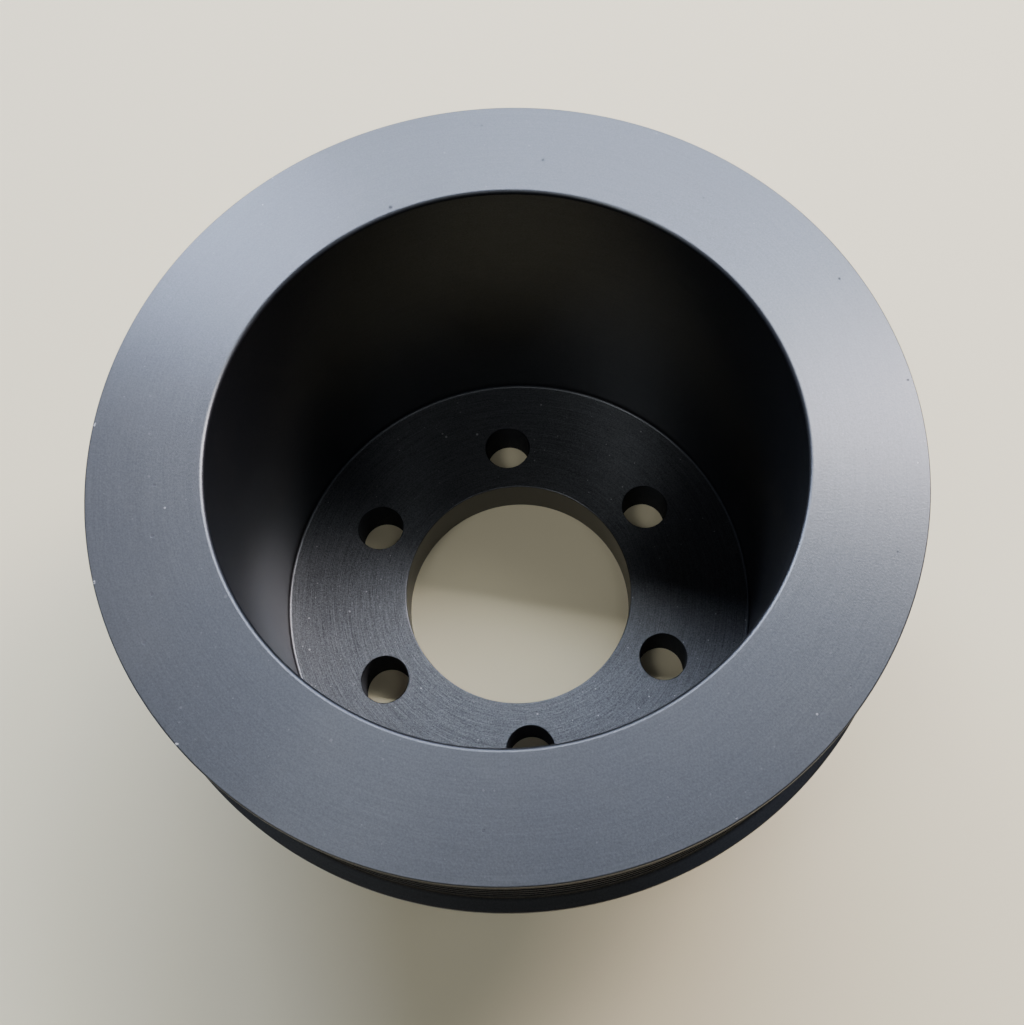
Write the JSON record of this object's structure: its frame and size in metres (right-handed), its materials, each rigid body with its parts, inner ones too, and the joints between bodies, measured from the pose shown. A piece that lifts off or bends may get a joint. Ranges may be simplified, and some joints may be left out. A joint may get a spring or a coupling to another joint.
{
  "type": "deep-dish multi-rib belt pulley",
  "caption": "Black one-piece deep-dish pulley: a multi-rib belt rim round an open cup, on a thick web with a pilot bore and a circle of bolt holes.",
  "frame": {"origin": "centre of the mounting face, the outside of the web, which also stands on the ground", "axes": "+Z along the axis of rotation, towards the open end of the cup; +Y through the first bolt hole"},
  "size_m": [0.2024, 0.2024, 0.1283],
  "materials": {
    "black_anodised": "satin black anodised over a fine turned surface"
  },
  "bodies": {
    "root": {"belt_pulley": "black_anodised"}
  },
  "joints": []
}
